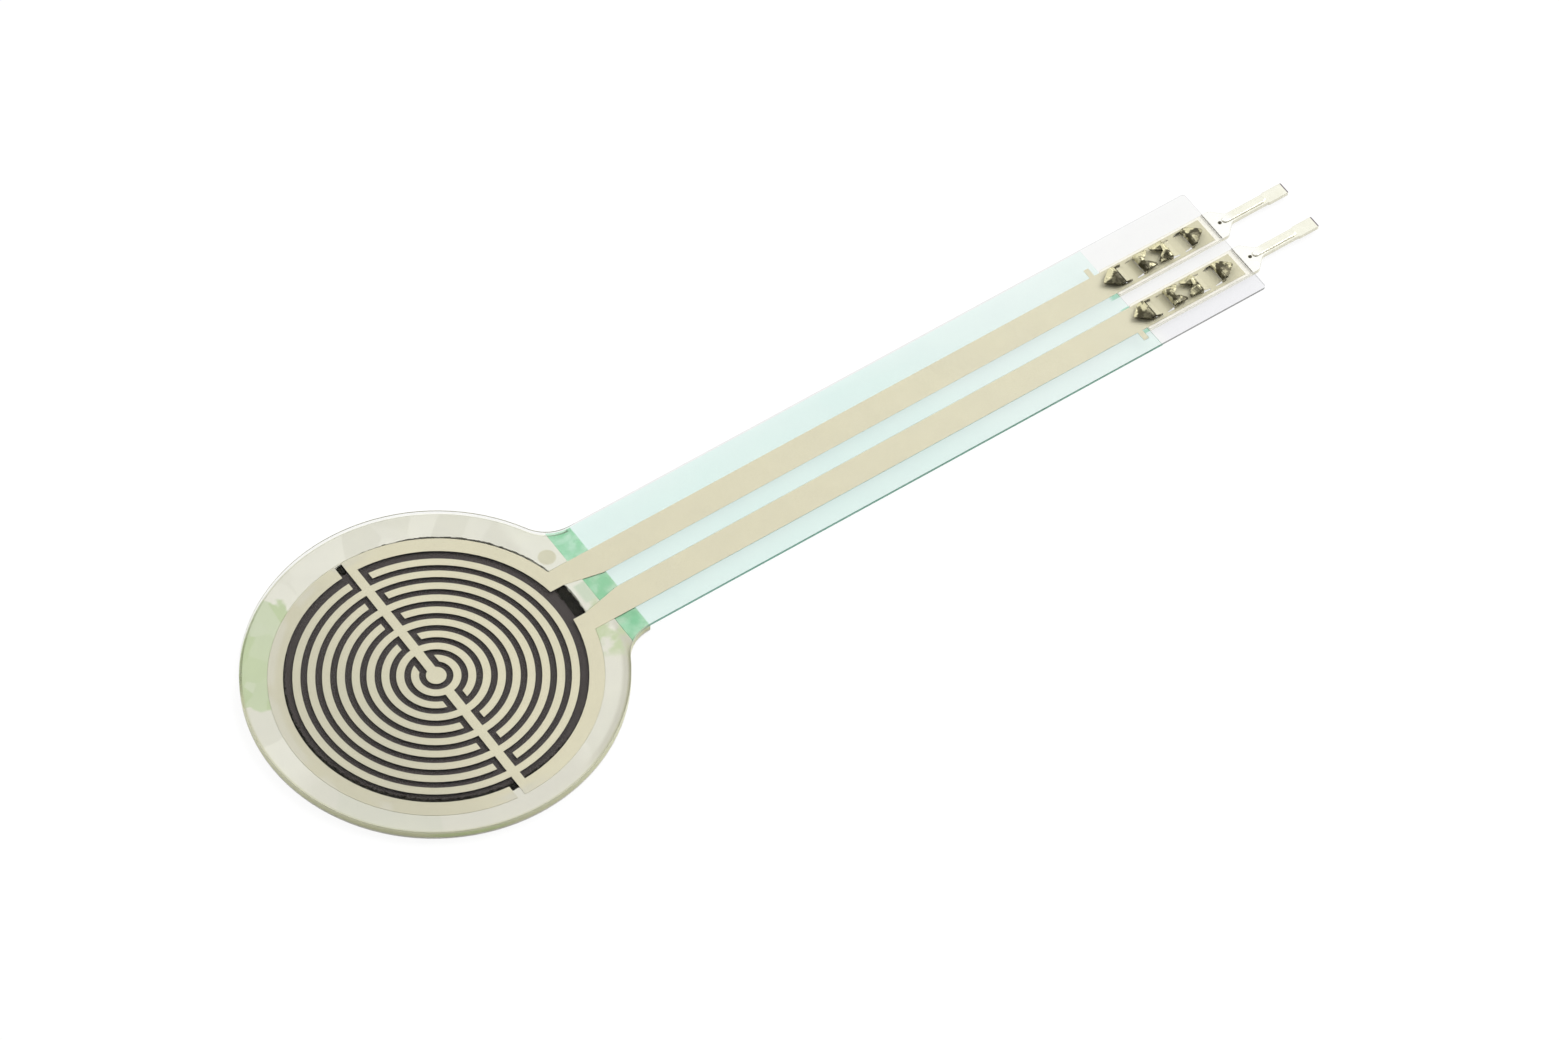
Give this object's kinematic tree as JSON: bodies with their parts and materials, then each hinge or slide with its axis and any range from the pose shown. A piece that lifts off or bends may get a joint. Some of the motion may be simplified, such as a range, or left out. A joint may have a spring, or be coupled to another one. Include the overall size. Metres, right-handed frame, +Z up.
{
  "type": "force sensing resistor",
  "caption": "Thin round pressure-sensing pad on a flat flexible tail, with an interdigitated silver comb over resistive ink and crimped solder tabs.",
  "frame": {"origin": "middle of the round head, on the underside of the release liner", "axes": "+X along the tail towards the solder pins, +Z up out of the sensing face"},
  "size_m": [0.0603, 0.0186, 0.0008],
  "materials": {
    "clear_film": "clear glossy film",
    "silver_ink": "printed silver ink, satin, slightly warm",
    "green_coat": "clear green-tinted printed coat",
    "spacer_acrylic": "milky acrylic adhesive",
    "carbon_ink": "black resistive ink, matt",
    "lower_film": "milky film",
    "rear_acrylic": "milky acrylic adhesive",
    "liner_film": "release-coated liner, satin",
    "tinned_brass": "bright tin plate over brass"
  },
  "bodies": {
    "root": {"conductive_film": "clear_film", "electrode_a": "silver_ink", "electrode_b": "silver_ink", "support_ring": "silver_ink", "tail_dielectric": "green_coat", "spacer_adhesive": "spacer_acrylic", "sensing_ink": "carbon_ink", "sensing_film": "lower_film", "rear_adhesive": "rear_acrylic", "release_liner": "liner_film", "terminal_a": "tinned_brass", "terminal_b": "tinned_brass"}
  },
  "joints": []
}
